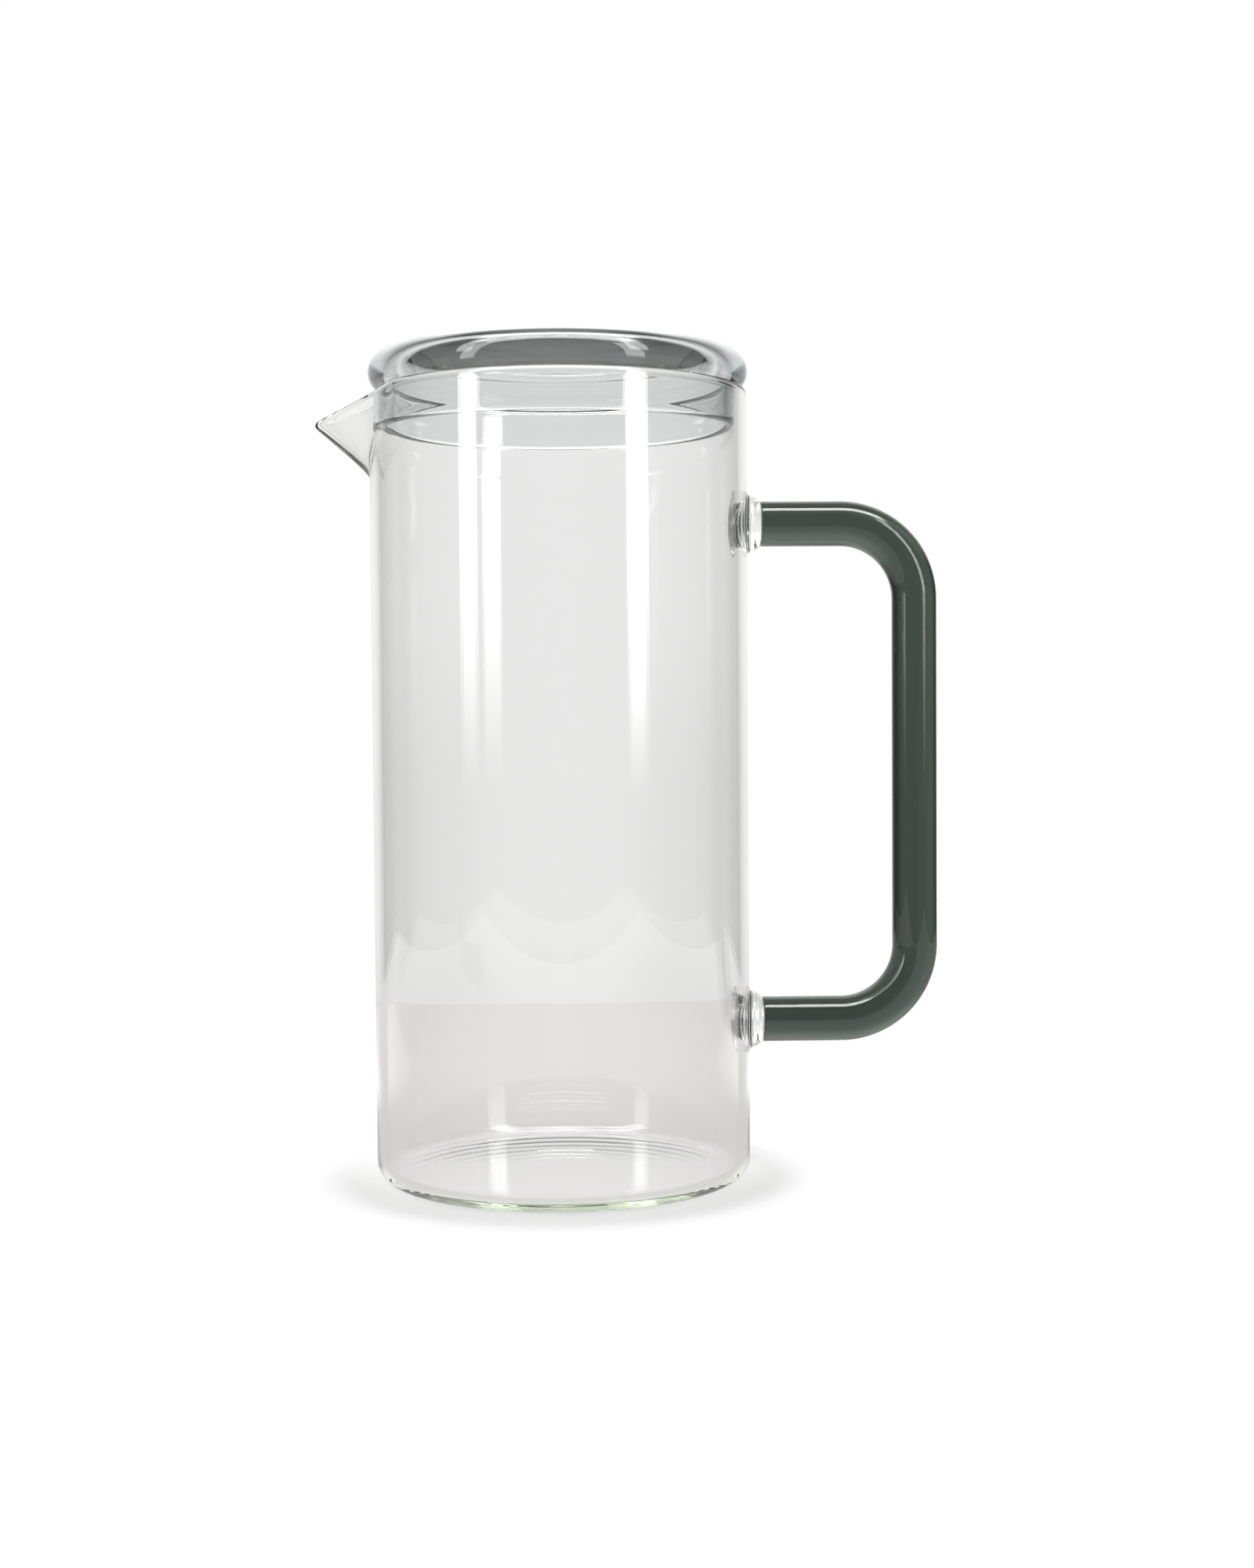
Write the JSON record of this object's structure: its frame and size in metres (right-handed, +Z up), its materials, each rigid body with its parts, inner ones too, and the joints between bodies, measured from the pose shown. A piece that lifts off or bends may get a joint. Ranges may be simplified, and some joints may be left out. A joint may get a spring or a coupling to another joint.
{
  "type": "glass pitcher with lid",
  "caption": "Tall clear glass pitcher with a pulled spout, a bent coloured glass rod handle and a hollow smoked glass lid that lifts off.",
  "frame": {"origin": "centre of the base, on the table", "axes": "+Z up along the body's axis, +X towards the handle, -X towards the spout, Y across"},
  "size_m": [0.1655, 0.1004, 0.2195],
  "materials": {
    "clear_glass": "clear, fire-polished",
    "handle_glass": "deep grey-green, fire-polished",
    "smoke_glass": "smoke grey, fire-polished"
  },
  "bodies": {
    "jug": {"pitcher_body": "clear_glass", "handle": "handle_glass", "upper_weld_collar": "clear_glass", "lower_weld_collar": "clear_glass"},
    "lid": {"lid": "smoke_glass"}
  },
  "joints": [
    {"name": "lid_lift", "type": "slide", "parent": "jug", "child": "lid", "axis": [0, 0, 1], "range_m": [0, 0.05]}
  ]
}
